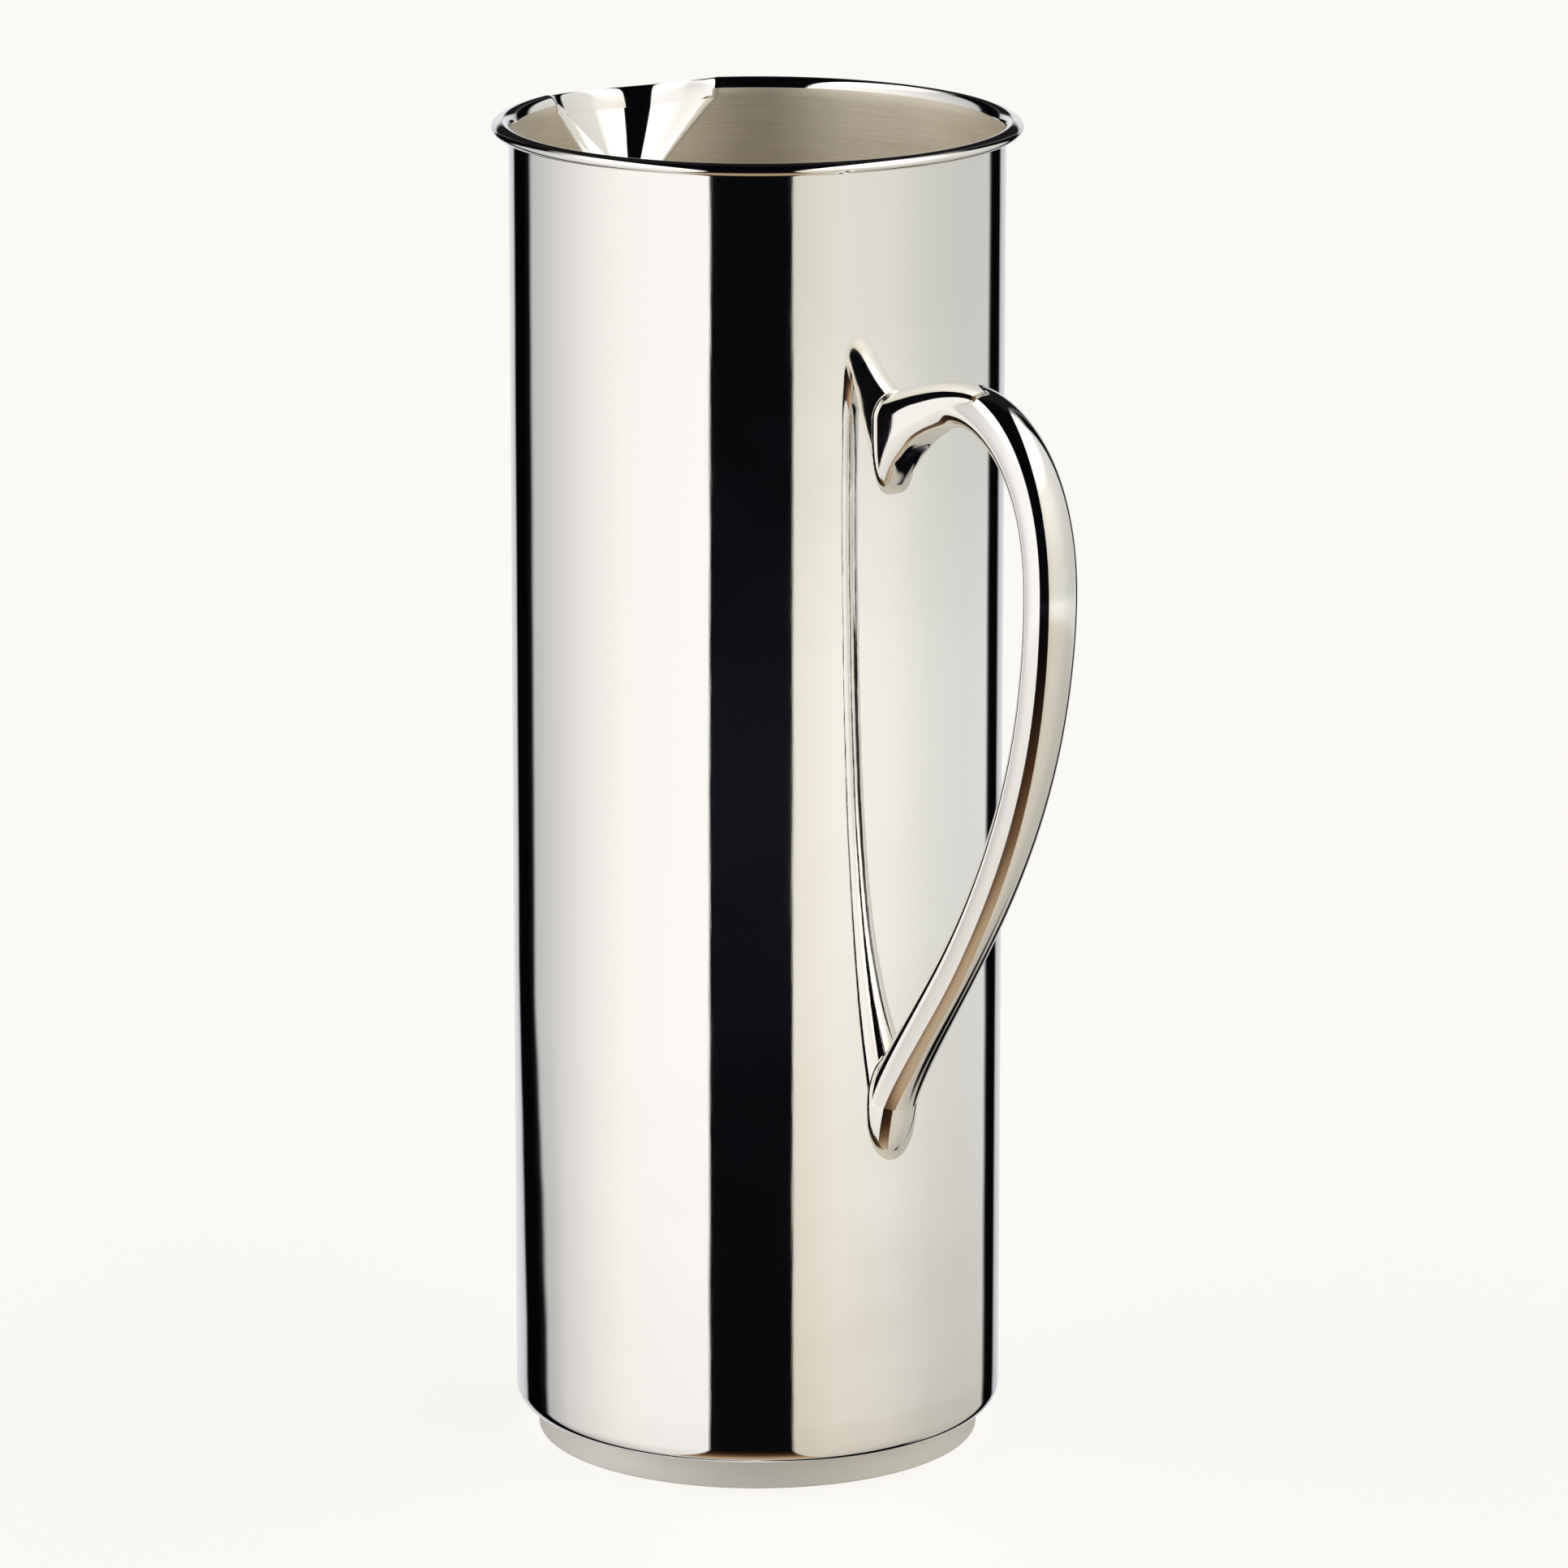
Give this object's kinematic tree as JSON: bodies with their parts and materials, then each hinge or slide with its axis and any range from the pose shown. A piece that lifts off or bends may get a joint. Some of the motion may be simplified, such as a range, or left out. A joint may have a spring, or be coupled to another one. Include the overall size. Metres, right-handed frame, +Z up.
{
  "type": "water pitcher",
  "caption": "Tall straight-sided silver water pitcher with a folded spout, a wire-bound lip, a set-in foot ring and a slender cast loop handle.",
  "frame": {"origin": "centre of the circle that the foot ring stands on, on the jug's axis", "axes": "+Z up along the jug's axis, +X towards the handle, -X towards the spout, XZ is the plane of symmetry"},
  "size_m": [0.1623, 0.0996, 0.255],
  "materials": {
    "body_silver": "mirror polished outside, brushed inside",
    "base_silver": "mirror polished outside, brushed inside",
    "foot_satin": "satin",
    "spout_silver": "mirror polished",
    "rim_silver": "mirror polished",
    "handle_silver": "mirror polished",
    "solder": "polished silver solder",
    "foot_solder": "satin silver solder"
  },
  "bodies": {
    "root": {"body_wall": "body_silver", "base_dish": "base_silver", "foot_ring": "foot_satin", "spout": "spout_silver", "rim_wire": "rim_silver", "handle": "handle_silver", "handle_upper_seam": "solder", "handle_lower_seam": "solder", "foot_seam": "foot_solder"}
  },
  "joints": []
}
